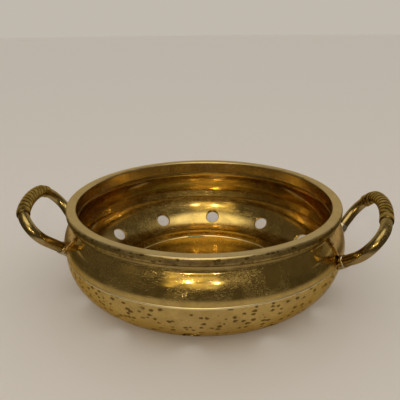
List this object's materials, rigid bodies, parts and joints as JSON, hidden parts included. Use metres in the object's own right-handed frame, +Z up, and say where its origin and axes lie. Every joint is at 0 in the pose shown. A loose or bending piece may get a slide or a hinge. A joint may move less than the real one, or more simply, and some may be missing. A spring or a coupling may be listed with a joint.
{
  "type": "incense burner",
  "caption": "Shallow brass burner bowl with a flat rim ring, bulging shoulder, vented round-bottomed pan and raised rope-grip loop handles at the sides.",
  "frame": {"origin": "middle of the flat base, on the surface it rests on", "axes": "+Z up through the mouth, +X towards the right handle, -Y to the front, which both handles sit a little towards"},
  "size_m": [0.1461, 0.113, 0.039],
  "materials": {
    "rim_brass": "worn satin, rubbed pale on the flat",
    "bowl_brass": "polished, aged and lightly scratched",
    "fitting_brass": "aged satin with dark hollows",
    "grip_brass": "aged satin, dark in the grooves"
  },
  "bodies": {
    "root": {"rim_ring": "rim_brass", "shoulder_collar": "bowl_brass", "lower_bowl": "bowl_brass", "left_handle_plate": "fitting_brass", "right_handle_plate": "fitting_brass", "left_handle_rod": "fitting_brass", "right_handle_rod": "fitting_brass", "left_handle_grip": "grip_brass", "right_handle_grip": "grip_brass", "left_front_foot": "fitting_brass", "left_rear_foot": "fitting_brass", "right_front_foot": "fitting_brass", "right_rear_foot": "fitting_brass"}
  },
  "joints": []
}
